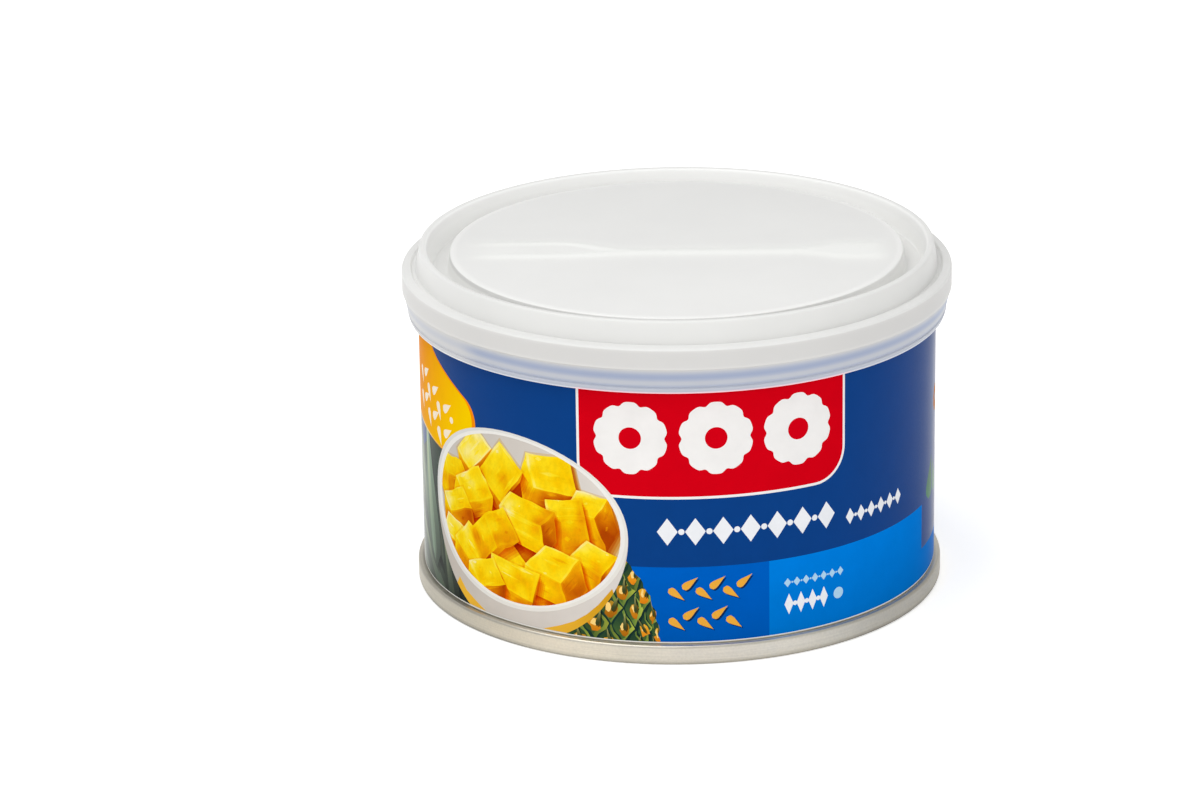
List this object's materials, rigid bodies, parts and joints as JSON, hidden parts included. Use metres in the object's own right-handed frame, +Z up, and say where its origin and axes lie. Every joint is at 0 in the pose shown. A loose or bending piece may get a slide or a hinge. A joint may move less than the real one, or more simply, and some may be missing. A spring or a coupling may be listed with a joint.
{
  "type": "pineapple can",
  "caption": "Low round tinplate food can of fruit, closed, with a printed paper label and a clip-on milky plastic lid with a raised ring and a raised centre disc.",
  "frame": {"origin": "centre of the bottom seam's standing ring, on the surface that the can stands on", "axes": "+Z up along the can's axis; -Y is the front, where the picture and the red panel of the label are; the label's lap is at +Y"},
  "size_m": [0.0886, 0.0886, 0.0562],
  "materials": {
    "tinplate": "bright rolled tinplate",
    "printed_paper": "printed and varnished, semi-gloss",
    "lid_plastic": "milky, slightly translucent polyethylene with a soft sheen"
  },
  "bodies": {
    "root": {"can_body": "tinplate", "bottom_end": "tinplate", "top_end": "tinplate", "label": "printed_paper", "lid": "lid_plastic"}
  },
  "joints": []
}
